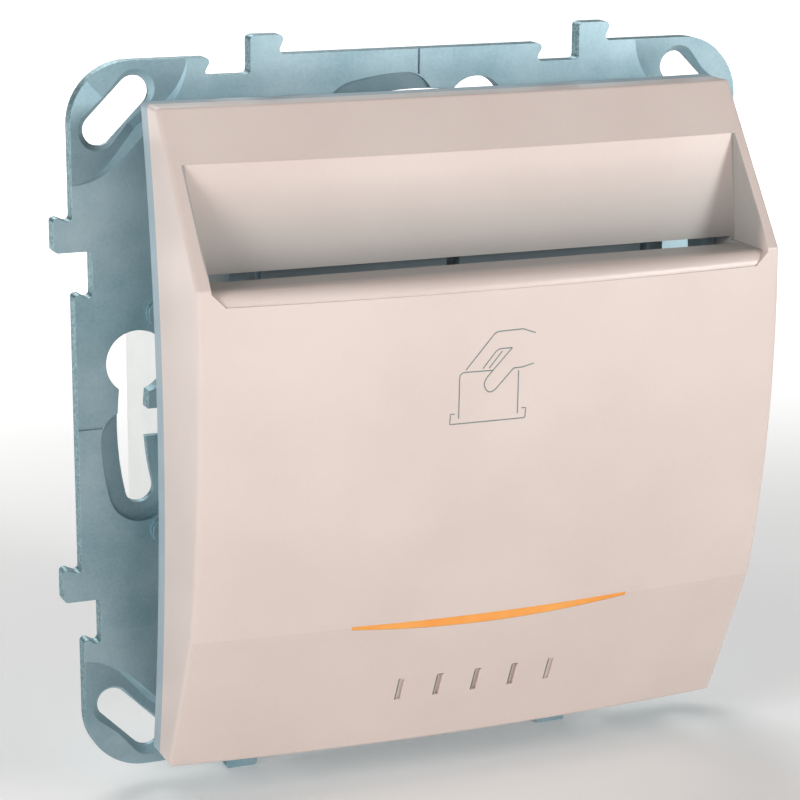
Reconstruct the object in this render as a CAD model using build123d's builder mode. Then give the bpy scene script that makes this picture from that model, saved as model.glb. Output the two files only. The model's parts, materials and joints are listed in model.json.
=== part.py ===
from build123d import *
import math
import os

# Hotel key card switch on a square metal support frame.
# Millimetres. X to the right, Y into the wall, Z up. The origin is the centre of the
# face of the support frame that lies on the wall.
# A "forward" value is a distance in front of that face, towards the person using it.

overrun = 3.0                    # how far a cutting shape runs past what it cuts

# Support frame
frame_thickness = 1.7
frame_corner_radius = 6.0
frame_margin = 5.5               # outside the circle that the fixing slots run on
opening_gap = 0.5                # round the moulded body
opening_radius = 3.0
side_count = 4                   # the frame is the same on its four sides
full_turn = 360.0
quarter_turn = 90.0
corner_angle = 45.0              # degrees at which the corners' slots and slopes lie
link_spacing = 35.0              # between the two notch and tab links of a side
notch_width = 4.9
notch_mouth = 3.8
notch_depth = 1.8
tab_width = 3.6
tab_root = 2.75
tab_height = 1.9
link_rounding = 0.45             # corners of the notches and tabs
fixing_radius = 30.0             # fixing slots run on this radius, 60 mm apart
slot_width = 3.05
slot_reach = 12.7                # degrees from the middle of the side to the slot's far end
entry_reach = 12.0               # degrees from the middle of the side to the round entry
entry_radius = 3.2
side_gap_width = 3.0
side_gap_wall = 1.8              # between the opening and the gaps at mid side
head_seat_radius = 3.27
head_seat_reach = 3.0            # degrees from the middle of the side to the seat's near end
corner_slot_inset = 4.8
corner_slot_length = 8.0
corner_slot_width = 3.1
countersink_flare = 0.76
countersink_depth = 1.2
relief_size = 11.6               # along each edge of a corner
relief_radius = 6.4
relief_slope = 0.18              # rise over run of the sloping pads and head seats
relief_wall_angle = 30.0         # degrees that the wall beside a pad leans
pip_radius = 1.4
pip_height = 0.8
pip_inset = 8.5
pip_place = 11.0
tick_length = 2.5
tick_width = 0.22
tick_depth = 0.15

# Moulded body behind the frame
body_wall = 1.5
body_chamfer = 5.0
flange_lap = 1.7                 # on the frame, round its opening
flange_thickness = 1.5
flange_radius = 3.0
snap_width = 8.0
snap_reach = 1.2
snap_length = 4.0
snap_clearance = 0.05
snap_seat_depth = 0.8            # of the recesses behind the frame that the snaps hold in
snap_seat_gap = 0.4              # round each snap in its recess
lid_thickness = 1.5
boss_inset = 4.7
boss_radius = 2.6
terminal_roof = 2.128            # between the terminals and the body's wall
screw_radius = 1.1
screw_head_radius = 2.0
screw_head_height = 1.2
screw_length = 9.0
recess_width = 0.5
recess_depth = 0.6

# Beige cover: places of the profile's corners at the side walls
cover_half_width = 29.85
cover_half_height = 32.25
top_edge_forward = 10.7
brow_forward = 22.05
brow_height = 17.3
crease_forward = 18.7
crease_height = -17.1
bottom_edge_forward = 11.35
front_bulge = 1.35               # how far the front stands before its chord
top_edge_bow = 1.1               # how much further forward each edge is at mid width
brow_bow = 1.6
crease_bow = 1.7
bottom_edge_bow = 1.8
cover_wall = 1.8
ridge_radius = 0.45
pocket_wall = 1.35
pocket_top_height = 27.5
pocket_top_bow = 1.0
panel_bottom_forward = 15.45
panel_lift = 0.35                # of the panel's lower edge above the pocket's floor
pocket_floor_drop = 0.3          # of the pocket's floor below the brow
lip_radius = 1.3
rib_thickness = 1.2
rib_places = [10.0, 22.0]
rib_end_gap = 3.0

# Grey carrier behind the cover
rim_width = 2.0                  # the band that shows behind the cover
rim_corner_forward = 6.0
rim_side_forward = 9.4
rim_top_forward = 7.15
tongue_length = 2.0
tongue_wall = 1.0
moulding_gap = 0.1               # between mouldings that plug together
plate_forward = 9.2
plate_thickness = 1.5
plate_half_width = 22.9
sight_slit_width = 1.34
side_slot_inner = 19.85
side_slot_outer = 21.2
sight_slot_bottom = 11.5
sight_slot_top = 22.0
leg_inset_x = 4.8                # from the screws of the housing towards the middle
leg_inset_z = 2.3
leg_width = 4.5
leg_pin_radius = 1.5
leg_pin_length = 2.2

# Card channel
channel_depth = 1.8
guide_wall = 1.5
guide_side_gap = 0.25
guide_window_gap = 0.6            # round the lever where it passes a wall
guide_top = 15.5
stop_height = -15.5
stop_thickness = 1.2
stop_end_gap = 0.25
stop_inset = 3.8
guide_leg_radius = 2.5
guide_leg_x = 20.0
guide_leg_z = 8.0

# Card lever
pivot_forward = 7.0
pivot_height = 5.0
hub_radius = 2.4
axle_radius = 1.0
axle_proud = 0.3
running_gap = 0.05
lever_half_width = 2.0
lever_bar = 2.4
rear_arm_length = 9.0
knee_drop = 6.6
knee_forward = 5.6
nose_reach = 11.2                # of the nose tip in front of the pivot
nose_drop = 12.5                 # of the nose tip below the pivot
nose_tip_radius = 0.6
tip_round_share = 0.9
nose_heel_forward = 2.6
ear_gap = 0.5
ear_thickness = 1.6
ear_radius = 2.0
press_angle = 13.0               # degrees that a card turns the lever

# Contact slider
slider_half_width = 5.0
slider_depth = 8.0
slider_front = -0.5
slider_height = 6.0
slider_seat_gap = 0.05
slider_play = 0.15
track_wall = 1.5
track_flange = 1.6
track_roof = 1.5
track_lead = 2.25                # of the track below the slider
bridge_overhang = 2.0
bridge_width = 3.0
bridge_thickness = 0.6
bridge_place = 3.4               # of the bridge above the bottom of the slider
contact_offset = 5.0             # of the contacts from the side of the slider
tip_radius = 1.2
tip_height = 0.55
contact_gap = 0.08               # between tips that nearly touch at a rest position
spring_radius = 2.0
spring_wire = 0.5
spring_turns = 6
spring_peg_radius = 1.4
spring_peg_height = 1.6

# Fixed contacts and terminals
strip_width = 4.2
strip_thickness = 0.8
strip_nose = 2.5
strip_overhang = 1.0             # of the strips behind the terminals
strip_end_gap = 5.0              # in front of the body's rear face
strip_drop_forward = -6.5
cage_height = 6.9
cage_wall = 0.9
cage_length = 6.0
cage_front_gap = 1.85            # behind the slider's track
cage_gap = 0.1
clamp_screw_radius = 1.5
clamp_head_radius = 2.2
clamp_head_height = 1.6
clamp_opening = 3.0                 # between screw and strip when the terminal is open
wire_hole_radius = 1.75
driver_hole_radius = 2.5

# Indicator
board_width = 37.0
board_height = 8.1
board_top = -18.4
board_thickness = 1.0
led_width = 4.0
led_height = 2.6
led_depth = 2.3
led_rise = 1.35                  # above the middle of the board
resistor_radius = 1.0
resistor_length = 5.0
resistor_inset = 9.5             # from the end of the board
lead_radius = 0.3
lead_span = 8.0
pin_radius = 0.5
pin_drop = 1.2                   # below the top of the board
pin_front = 0.7
pin_hole_gap = 0.3
lens_drop = 0.05                 # from the crease to the lens, along the lower face
lens_length = 29.2
lens_width = 1.15
lens_end_width = 0.35
lens_depth = 2.7
lens_offset = 0.5
lens_gap = 0.03
guide_gap = 0.2                  # between the light guide and its neighbours
guide_rear_half_width = 2.4
guide_depth_height = 2.8
mark_count = 5
mark_spacing = 4.05
mark_width = 0.5
mark_length = 2.8
mark_drop = 7.95                 # from the crease to the marks, along the lower face
mark_depth = 0.25
mark_offset = 0.5

# Sizes that follow from those above
slider_bottom = pivot_height + lever_bar / 2 + slider_seat_gap
slider_top = slider_bottom + slider_height
slider_rear = slider_front - slider_depth
slider_middle = slider_front - slider_depth / 2
slider_travel = rear_arm_length * math.radians(press_angle)
contact_place = slider_half_width + contact_offset
bridge_half_length = contact_place + bridge_overhang
bridge_bottom = slider_bottom + bridge_place
bridge_top = bridge_bottom + bridge_thickness
upper_tip_bottom = bridge_top + tip_height + slider_travel + contact_gap
upper_strip_bottom = upper_tip_bottom + tip_height
lower_tip_top = bridge_bottom - tip_height - contact_gap
lower_strip_top = lower_tip_top - tip_height
terminal_height = upper_strip_bottom
cage_width = strip_width + 2 * (cage_wall + cage_gap)
cage_bottom = terminal_height - cage_gap - cage_wall
cage_top = cage_bottom + cage_height
track_rear = slider_rear - slider_play
cage_place = -track_rear + track_wall + cage_front_gap + cage_length / 2
strip_end = cage_place + cage_length / 2 + strip_overhang
body_depth = strip_end + strip_end_gap
body_inner_half = cage_top + terminal_roof
body_half = body_inner_half + body_wall
body_width = 2 * body_half
boss_place = body_half - boss_inset
track_top = body_inner_half - track_roof
track_bottom = slider_bottom - track_lead
opening_width = body_width + 2 * opening_gap
flange_width = opening_width + 2 * flange_lap
flange_front = frame_thickness + flange_thickness
frame_half = fixing_radius + frame_margin
frame_width = 2 * frame_half
side_gap_inner = opening_width / 2 + side_gap_wall
corner_slot_place = frame_half - corner_slot_inset
relief_start = frame_half - relief_size
lid_front = flange_front + lid_thickness
plate_front = plate_forward + plate_thickness
leg_place_x = boss_place - leg_inset_x
leg_place_z = boss_place - leg_inset_z
channel_front = panel_bottom_forward + channel_depth
channel_rear = panel_bottom_forward
guide_rear = channel_rear - guide_wall
cover_inner_half_width = cover_half_width - cover_wall
cover_inner_half_height = cover_half_height - cover_wall
guide_half_width = cover_inner_half_width - guide_side_gap
stop_half_width = guide_half_width - stop_inset
pocket_half_width = cover_half_width - pocket_wall
pocket_floor_height = brow_height - pocket_floor_drop
panel_bottom_height = pocket_floor_height + panel_lift
board_rear = plate_front
board_front = board_rear + board_thickness
board_middle = board_top - board_height / 2
led_place = board_middle + led_rise
pin_height = board_top - pin_drop
resistor_place = board_width / 2 - resistor_inset


def front_plane(forward):
    """Plane that faces the user at a forward distance; its sketches run along X and Z."""
    return Plane.XZ.offset(forward)


def side_plane(place):
    """Plane across the width at an X place; its sketches run forward and up."""
    return Plane(origin=(place, 0, 0), x_dir=(0, -1, 0), z_dir=(-1, 0, 0))


def finish(name, label):
    """Label a finished piece and write its file."""
    name.part.label = label
    export_step(name.part, f"parts/{label}.step")


os.makedirs("parts", exist_ok=True)


# Support frame: flat plate with linked edges, fixing slots and sloping corner pads

notch_outline = [
    (0, -notch_depth),
    (0, overrun),
    (-notch_mouth, overrun),
    (-notch_mouth, 0),
    (-notch_width, -notch_depth),
]
tab_outline = [
    (0, -notch_depth),
    (tab_root, -notch_depth),
    (tab_root, 0),
    (tab_width, tab_height),
    (0, tab_height),
]
link_places = [(-link_spacing / 2, frame_half), (link_spacing / 2, frame_half)]
pip_height_place = frame_half - pip_inset
pip_places = [(-pip_place, pip_height_place), (pip_place, pip_height_place)]

with BuildPart() as corner_relief:
    with BuildSketch(front_plane(frame_thickness)):
        with BuildLine():
            lower_bend = JernArc((-frame_half, relief_start), (1, 0), relief_radius, corner_angle)
            straight = (frame_half - relief_start - relief_radius) / math.cos(math.radians(corner_angle))
            slant = PolarLine(lower_bend @ 1, straight, corner_angle)
            upper_bend = JernArc(slant @ 1, (1, 1), relief_radius, corner_angle)
            Polyline(
                upper_bend @ 1,
                (-relief_start, frame_half + overrun),
                (-frame_half - overrun, frame_half + overrun),
                (-frame_half - overrun, relief_start),
                (-frame_half, relief_start),
            )
        make_face()
    extrude(amount=-frame_thickness, taper=relief_wall_angle)
    split(bisect_by=Plane(origin=(-frame_half, -frame_thickness, 0), z_dir=(relief_slope, -1, 0)))
    split(bisect_by=Plane(origin=(0, -frame_thickness, frame_half), z_dir=(0, -1, -relief_slope)))

# Middle lines of a fixing slot and of the seat for its screw's head, on the top side
slot_line = CenterArc((0, 0), fixing_radius, quarter_turn - entry_reach, entry_reach + slot_reach)
seat_line = CenterArc((0, 0), fixing_radius, quarter_turn + head_seat_reach, slot_reach - head_seat_reach)

with BuildPart() as fixing_slot:
    with BuildSketch(front_plane(0)):
        SlotArc(slot_line, slot_width)
    extrude(amount=frame_thickness)

with BuildPart() as head_seat:
    with BuildSketch(front_plane(0)):
        SlotArc(seat_line, 2 * head_seat_radius)
    extrude(amount=frame_thickness + overrun)
    seat_outer = fixing_radius + head_seat_radius
    split(bisect_by=Plane(origin=(0, -frame_thickness, seat_outer), z_dir=(0, -1, -relief_slope)))

with BuildPart() as countersink:
    for depth, flare in ((countersink_depth, 0), (0, countersink_flare), (-pip_height, countersink_flare)):
        with BuildSketch(front_plane(frame_thickness - depth)):
            with Locations((-corner_slot_place, corner_slot_place)):
                slot_size = (corner_slot_length + 2 * flare, corner_slot_width + 2 * flare)
                SlotOverall(*slot_size, rotation=corner_angle)
    loft(ruled=True)

with BuildPart() as support_frame:
    with BuildSketch(front_plane(0)):
        RectangleRounded(frame_width, frame_width, frame_corner_radius)
        with PolarLocations(0, side_count):
            with Locations(*link_places):
                Polygon(*notch_outline, mode=Mode.SUBTRACT)
                Polygon(*tab_outline)
        link_corners = [corner for corner in vertices() if min(abs(corner.X), abs(corner.Y)) < relief_start]
        fillet(link_corners, link_rounding)
        RectangleRounded(opening_width, opening_width, opening_radius, mode=Mode.SUBTRACT)
        with PolarLocations(0, side_count):
            side_gap_middle = (side_gap_inner + fixing_radius) / 2
            with Locations((0, side_gap_middle)):
                Rectangle(side_gap_width, fixing_radius - side_gap_inner, mode=Mode.SUBTRACT)
            with Locations((-corner_slot_place, corner_slot_place)):
                slot_size = (corner_slot_length, corner_slot_width)
                SlotOverall(*slot_size, rotation=corner_angle, mode=Mode.SUBTRACT)
        with PolarLocations(fixing_radius, side_count, start_angle=quarter_turn - entry_reach):
            Circle(entry_radius, mode=Mode.SUBTRACT)
    extrude(amount=frame_thickness)
    for turn in range(side_count):
        side_angle = turn * full_turn / side_count
        add(corner_relief.part.rotate(Axis.Y, side_angle), mode=Mode.SUBTRACT)
        add(fixing_slot.part.rotate(Axis.Y, side_angle), mode=Mode.SUBTRACT)
        add(head_seat.part.rotate(Axis.Y, side_angle), mode=Mode.SUBTRACT)
        add(countersink.part.rotate(Axis.Y, side_angle), mode=Mode.SUBTRACT)
    with BuildSketch(front_plane(frame_thickness)):
        with PolarLocations(0, side_count):
            with Locations(*pip_places):
                Circle(pip_radius)
    extrude(amount=pip_height)
    with BuildSketch(front_plane(frame_thickness)):
        with PolarLocations(0, side_count):
            with Locations((0, frame_half - tick_length / 2)):
                Rectangle(tick_width, tick_length)
    extrude(amount=-tick_depth, mode=Mode.SUBTRACT)
    with BuildSketch(front_plane(0)):
        with PolarLocations(body_half, side_count):
            Rectangle(2 * (snap_reach + snap_seat_gap), snap_width + 2 * snap_seat_gap)
    extrude(amount=snap_seat_depth, mode=Mode.SUBTRACT)
finish(support_frame, "support_frame")


# Rear housing: a box behind the frame, held by its flange in front and its snaps behind

inner_chamfer = body_chamfer - body_wall * (2 - math.sqrt(2))
boss_grid = GridLocations(2 * boss_place, 2 * boss_place, 2, 2)
wire_height = terminal_height + strip_thickness + wire_hole_radius
track_inner = slider_half_width + slider_play
track_outer = track_inner + track_wall
track_front = slider_front + slider_play
window_margin = slider_play + contact_gap
shelf_top = terminal_height - snap_clearance
shelf_thickness = body_wall
post_height = strip_width

snap_front = snap_seat_depth - snap_clearance

with BuildPart() as snap:
    with BuildSketch(side_plane(0)):
        Polygon(
            (snap_front, body_half - body_wall),
            (snap_front, body_half + snap_reach),
            (0, body_half + opening_gap),
            (-snap_length, body_half),
            (-snap_length, body_half - body_wall),
        )
    extrude(amount=snap_width / 2, both=True)

with BuildPart() as rear_housing:
    with BuildSketch(front_plane(-body_depth)):
        Rectangle(body_width, body_width)
        chamfer(vertices(), body_chamfer)
    extrude(amount=body_depth + flange_front)
    with BuildSketch(front_plane(frame_thickness)):
        RectangleRounded(flange_width, flange_width, flange_radius)
    extrude(amount=flange_thickness)
    with BuildSketch(front_plane(body_wall - body_depth)):
        Rectangle(2 * body_inner_half, 2 * body_inner_half)
        chamfer(vertices(), inner_chamfer)
    extrude(amount=body_depth - body_wall + flange_front, mode=Mode.SUBTRACT)
    for turn in range(side_count):
        add(snap.part.rotate(Axis.Y, turn * full_turn / side_count))

    # Screw bosses in the corners
    with BuildSketch(front_plane(-body_depth)):
        with boss_grid:
            Circle(boss_radius)
    extrude(amount=body_depth + flange_front)
    with BuildSketch(front_plane(flange_front)):
        with boss_grid:
            Circle(screw_radius)
    extrude(amount=-screw_length, mode=Mode.SUBTRACT)

    # Track of the contact slider, with the seat of its spring on top
    with BuildSketch(Plane.XY.offset(track_bottom)):
        track_middle = -(track_front + track_rear) / 2
        track_length = track_front - track_rear
        with Locations((0, track_middle)):
            Rectangle(2 * track_outer, track_length + 2 * track_wall)
            Rectangle(2 * track_inner, track_length, mode=Mode.SUBTRACT)
            with Locations((0, -track_length / 2)):
                opening_half = track_inner - track_flange
                Rectangle(2 * opening_half, 2 * track_wall, mode=Mode.SUBTRACT)
        leg_start = -track_rear + track_wall
        leg_length = body_depth - leg_start
        for side in (-1, 1):
            with Locations((side * (track_inner + track_outer) / 2, leg_start + leg_length / 2)):
                Rectangle(track_wall, leg_length)
    extrude(amount=body_inner_half - track_bottom)
    with BuildSketch(Plane.XY.offset(track_top)):
        with Locations((0, track_middle)):
            Rectangle(2 * track_outer, track_length + 2 * track_wall)
    extrude(amount=body_inner_half - track_top)
    with BuildSketch(side_plane(0)):
        window_bottom = bridge_bottom - window_margin
        window_top = bridge_top + slider_travel + window_margin
        with Locations((slider_middle, (window_bottom + window_top) / 2)):
            Rectangle(bridge_width + 2 * window_margin, window_top - window_bottom)
    extrude(amount=track_outer + window_margin, both=True, mode=Mode.SUBTRACT)

    # Shelves and posts that carry the contact strips
    with BuildSketch(front_plane(-body_depth)):
        for side in (-1, 1):
            for level in (-1, 1):
                with Locations((side * contact_place, level * (shelf_top - shelf_thickness / 2))):
                    Rectangle(cage_width, shelf_thickness)
    extrude(amount=body_depth - strip_end + shelf_thickness / 2)
    with BuildSketch(front_plane(track_rear - track_wall)):
        for side in (-1, 1):
            arm_end = contact_place + strip_width / 2
            with Locations((side * (track_inner + arm_end) / 2, shelf_top - shelf_thickness / 2)):
                Rectangle(arm_end - track_inner, shelf_thickness)
    extrude(amount=track_wall)
    with BuildSketch(front_plane(-body_depth)):
        for side in (-1, 1):
            with Locations((side * contact_place, -post_height)):
                Rectangle(strip_width, post_height)
    extrude(amount=body_depth + strip_drop_forward - strip_thickness - snap_clearance)

    # Wire entries behind, screwdriver holes above and below
    with BuildSketch(front_plane(-body_depth)):
        with GridLocations(2 * contact_place, 2 * wire_height, 2, 2):
            Circle(wire_hole_radius)
    extrude(amount=body_wall, mode=Mode.SUBTRACT)
    with BuildSketch(Plane.XY.offset(-body_half)):
        with Locations((-contact_place, cage_place), (contact_place, cage_place)):
            Circle(driver_hole_radius)
    extrude(amount=body_wall, mode=Mode.SUBTRACT)
    with BuildSketch(Plane.XY.offset(body_inner_half)):
        with Locations((-contact_place, cage_place), (contact_place, cage_place)):
            Circle(driver_hole_radius)
    extrude(amount=body_wall, mode=Mode.SUBTRACT)
finish(rear_housing, "rear_housing")


# Lid of the housing, with the two ears that carry the lever's axle

ear_inner = lever_half_width + ear_gap
ear_outer = ear_inner + ear_thickness
lever_window_reach = hub_radius + guide_window_gap
leg_grid = GridLocations(2 * leg_place_x, 2 * leg_place_z, 2, 2)
pin_places = [(-contact_place, pin_height), (contact_place, pin_height)]

with BuildPart() as housing_lid:
    with BuildSketch(front_plane(flange_front)):
        RectangleRounded(flange_width, flange_width, flange_radius)
        with Locations((0, pivot_height)):
            Rectangle(2 * ear_inner, 2 * lever_window_reach, mode=Mode.SUBTRACT)
        with boss_grid:
            Circle(screw_radius + moulding_gap, mode=Mode.SUBTRACT)
        with leg_grid:
            Circle(leg_pin_radius + snap_clearance, mode=Mode.SUBTRACT)
        with Locations(*pin_places):
            Circle(pin_radius + pin_hole_gap, mode=Mode.SUBTRACT)
    extrude(amount=lid_thickness)
    for side in (-1, 1):
        with BuildSketch(side_plane(side * ear_inner)):
            with Locations(((flange_front + pivot_forward) / 2, pivot_height)):
                Rectangle(pivot_forward - flange_front, 2 * ear_radius)
            with Locations((pivot_forward, pivot_height)):
                Circle(ear_radius)
                Circle(axle_radius + running_gap, mode=Mode.SUBTRACT)
        extrude(amount=-side * ear_thickness)
finish(housing_lid, "housing_lid")

with BuildPart() as housing_screws:
    with BuildSketch(front_plane(lid_front)):
        with boss_grid:
            Circle(screw_head_radius)
    extrude(amount=screw_head_height)
    with BuildSketch(front_plane(lid_front)):
        with boss_grid:
            Circle(screw_radius)
    extrude(amount=-screw_length)
    with BuildSketch(front_plane(lid_front + screw_head_height)):
        with boss_grid:
            Rectangle(2 * screw_head_radius, recess_width)
    extrude(amount=-recess_depth, mode=Mode.SUBTRACT)
finish(housing_screws, "housing_screws")


# Card lever: a nose that the card pushes back and an arm that lifts the contact slider

knee_height = pivot_height - knee_drop
nose_forward = pivot_forward + nose_reach
nose_height = pivot_height - nose_drop
heel_forward = pivot_forward + nose_heel_forward
arm_end_forward = pivot_forward - rear_arm_length

with BuildPart() as card_lever:
    with BuildSketch(side_plane(0)):
        with Locations((pivot_forward, pivot_height)):
            Circle(hub_radius)
        with Locations(((pivot_forward + arm_end_forward) / 2, pivot_height)):
            SlotOverall(rear_arm_length + lever_bar, lever_bar)
        Polygon(
            (pivot_forward + hub_radius, pivot_height),
            (pivot_forward + knee_forward, knee_height),
            (nose_forward, nose_height + nose_tip_radius),
            (nose_forward, nose_height - nose_tip_radius),
            (heel_forward, nose_height),
            (pivot_forward - hub_radius, pivot_height),
        )
        tip_corners = vertices().group_by(Axis.X)[-1]
        fillet(tip_corners, tip_round_share * nose_tip_radius)
        with Locations((pivot_forward, pivot_height)):
            Circle(axle_radius, mode=Mode.SUBTRACT)
    extrude(amount=lever_half_width, both=True)
finish(card_lever, "card_lever")

with BuildPart() as lever_axle:
    with BuildSketch(side_plane(0)):
        with Locations((pivot_forward, pivot_height)):
            Circle(axle_radius)
    extrude(amount=ear_outer + axle_proud, both=True)
finish(lever_axle, "lever_axle")


# Contact slider with its bridge, tips and return spring

with BuildPart() as contact_slider:
    with BuildSketch(Plane.XY.offset(slider_bottom)):
        with Locations((0, -slider_middle)):
            Rectangle(2 * slider_half_width, slider_depth)
    extrude(amount=slider_height)
    with BuildSketch(Plane.XY.offset(slider_top)):
        with Locations((0, -slider_middle)):
            Circle(spring_peg_radius)
    extrude(amount=spring_peg_height)
    with BuildSketch(side_plane(0)):
        with Locations((slider_middle, (bridge_bottom + bridge_top) / 2)):
            Rectangle(bridge_width, bridge_thickness)
    extrude(amount=slider_half_width, both=True, mode=Mode.SUBTRACT)
finish(contact_slider, "contact_slider")

with BuildPart() as bridge_contact:
    with BuildSketch(Plane.XY.offset(bridge_bottom)):
        with Locations((0, -slider_middle)):
            Rectangle(2 * bridge_half_length, bridge_width)
        with Locations((-contact_place, -slider_middle), (contact_place, -slider_middle)):
            Circle(tip_radius / 2, mode=Mode.SUBTRACT)
    extrude(amount=bridge_thickness)
finish(bridge_contact, "bridge_contact")

tip_places = [(-contact_place, -slider_middle), (contact_place, -slider_middle)]

with BuildPart() as bridge_tips:
    for level in (bridge_bottom - tip_height, bridge_top):
        with BuildSketch(Plane.XY.offset(level)):
            with Locations(*tip_places):
                Circle(tip_radius)
        extrude(amount=tip_height)
    with BuildSketch(Plane.XY.offset(bridge_bottom)):
        with Locations(*tip_places):
            Circle(tip_radius / 2)
    extrude(amount=bridge_thickness)
finish(bridge_tips, "bridge_tips")

spring_length = track_top - slider_top
coil_rise = spring_length - spring_wire

with BuildPart() as return_spring:
    with BuildLine():
        coil = Helix(
            pitch=coil_rise / spring_turns,
            height=coil_rise,
            radius=spring_radius,
            center=(0, -slider_middle, slider_top + spring_wire / 2),
        )
    with BuildSketch(Plane(origin=coil @ 0, z_dir=coil % 0)):
        Circle(spring_wire / 2)
    sweep()
finish(return_spring, "return_spring")


# Fixed contacts: two strips above the bridge and two below it, each with its terminal

with BuildPart() as fixed_tips:
    for level in (lower_strip_top, upper_tip_bottom):
        with BuildSketch(Plane.XY.offset(level)):
            with Locations(*tip_places):
                Circle(tip_radius)
        extrude(amount=tip_height)
finish(fixed_tips, "fixed_tips")

strip_front = slider_middle + strip_nose
lower_strip_bottom = lower_strip_top - strip_thickness
tab_end = pin_height - pin_radius - strip_thickness / 2

for side, side_name in ((-1, "left"), (1, "right")):
    with BuildPart() as upper_contact:
        with BuildSketch(side_plane(side * contact_place)):
            with Locations(((strip_front - strip_end) / 2, terminal_height + strip_thickness / 2)):
                Rectangle(strip_front + strip_end, strip_thickness)
        extrude(amount=strip_width / 2, both=True)
    finish(upper_contact, f"upper_contact_{side_name}")

    with BuildPart() as lower_contact:
        with BuildSketch(side_plane(side * contact_place)):
            Polygon(
                (strip_front, lower_strip_bottom),
                (strip_front, lower_strip_top),
                (strip_drop_forward - strip_thickness, lower_strip_top),
                (strip_drop_forward - strip_thickness, -terminal_height),
                (-strip_end, -terminal_height),
                (-strip_end, -terminal_height - strip_thickness),
                (strip_drop_forward - strip_thickness, -terminal_height - strip_thickness),
                (strip_drop_forward - strip_thickness, tab_end),
                (strip_drop_forward, tab_end),
                (strip_drop_forward, lower_strip_bottom),
            )
        extrude(amount=strip_width / 2, both=True)
    finish(lower_contact, f"lower_contact_{side_name}")

head_top = body_half - body_wall / 2
head_bottom = head_top - clamp_head_height
clamp_screw_length = head_bottom - terminal_height - strip_thickness - clamp_opening

with BuildPart() as terminal_cages:
    with BuildSketch(front_plane(-cage_place - cage_length / 2)):
        for level in (-1, 1):
            for side in (-1, 1):
                with Locations((side * contact_place, level * (cage_bottom + cage_top) / 2)):
                    Rectangle(cage_width, cage_height)
                    Rectangle(cage_width - 2 * cage_wall, cage_height - 2 * cage_wall, mode=Mode.SUBTRACT)
    extrude(amount=cage_length)
    for level in (-1, 1):
        with BuildSketch(Plane.XY.offset(level * cage_top)):
            with Locations((-contact_place, cage_place), (contact_place, cage_place)):
                Circle(clamp_screw_radius)
        extrude(amount=-level * cage_wall, mode=Mode.SUBTRACT)
finish(terminal_cages, "terminal_cages")

with BuildPart() as terminal_screws:
    for level in (-1, 1):
        with BuildSketch(Plane.XY.offset(level * head_bottom)):
            with Locations((-contact_place, cage_place), (contact_place, cage_place)):
                Circle(clamp_head_radius)
        extrude(amount=level * clamp_head_height)
        with BuildSketch(Plane.XY.offset(level * head_bottom)):
            with Locations((-contact_place, cage_place), (contact_place, cage_place)):
                Circle(clamp_screw_radius)
        extrude(amount=-level * clamp_screw_length)
        with BuildSketch(Plane.XY.offset(level * head_top)):
            with Locations((-contact_place, cage_place), (contact_place, cage_place)):
                Rectangle(2 * clamp_head_radius, recess_width)
        extrude(amount=-level * recess_depth, mode=Mode.SUBTRACT)
finish(terminal_screws, "terminal_screws")


# Outer form of the cover and of the carrier's rim, before they are parted

def cover_profile(bow_share):
    """Edges of the cover's side profile, moved forward by a share of their bows."""
    top_edge = (top_edge_forward + bow_share * top_edge_bow, cover_half_height)
    brow = (brow_forward + bow_share * brow_bow, brow_height)
    crease = (crease_forward + bow_share * crease_bow, crease_height)
    bottom_edge = (bottom_edge_forward + bow_share * bottom_edge_bow, -cover_half_height)
    chord = Vector(*brow) - Vector(*crease)
    bulge = (Vector(*brow) + Vector(*crease)) * 0.5 + Vector(chord.Y, -chord.X).normalized() * front_bulge
    with BuildLine() as profile:
        ThreePointArc(crease, bulge, brow)
        Polyline(
            brow,
            top_edge,
            (frame_thickness, cover_half_height),
            (frame_thickness, -cover_half_height),
            bottom_edge,
            crease,
        )
    return profile.edges()


with BuildPart() as outer_form:
    for place, bow_share in ((-cover_half_width, 0), (0, 1), (cover_half_width, 0)):
        with BuildSketch(side_plane(place)):
            make_face(cover_profile(bow_share))
    loft()
    ridges = outer_form.edges().filter_by(lambda edge: edge.center().Y < -rim_corner_forward)
    creases = ridges.filter_by(lambda edge: abs(edge.center().Z - crease_height) < ridge_radius)
    fillet(ridges - creases, ridge_radius)

with BuildPart() as inner_form:
    for place, bow_share in ((-cover_inner_half_width, 0), (0, 1), (cover_inner_half_width, 0)):
        with BuildSketch(side_plane(place)):
            make_face(cover_profile(bow_share))
            offset(amount=-cover_wall, kind=Kind.INTERSECTION)
    loft()


def behind_rim(step):
    """Everything that lies behind the arched rear edge of the rim, moved forward by a step."""
    with BuildPart() as space:
        with BuildSketch(side_plane(0)):
            with BuildLine():
                ThreePointArc(
                    (rim_corner_forward + step, -cover_half_height),
                    (rim_side_forward + step, 0),
                    (rim_corner_forward + step, cover_half_height),
                )
                Polyline(
                    (rim_corner_forward + step, cover_half_height),
                    (rim_corner_forward + step, cover_half_height + overrun),
                    (-overrun, cover_half_height + overrun),
                    (-overrun, -cover_half_height - overrun),
                    (rim_corner_forward + step, -cover_half_height - overrun),
                    (rim_corner_forward + step, -cover_half_height),
                )
            make_face()
        extrude(amount=cover_half_width + overrun, both=True)
        with BuildSketch(Plane.XY):
            with BuildLine():
                ThreePointArc(
                    (-cover_half_width, -rim_corner_forward - step),
                    (0, -rim_top_forward - step),
                    (cover_half_width, -rim_corner_forward - step),
                )
                Line(
                    (cover_half_width, -rim_corner_forward - step),
                    (-cover_half_width, -rim_corner_forward - step),
                )
            make_face()
        extrude(amount=cover_half_height + overrun, both=True)
    return space.part


# Cover: domed shell with the card pocket, its slot, the lens slot and five marks

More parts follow.
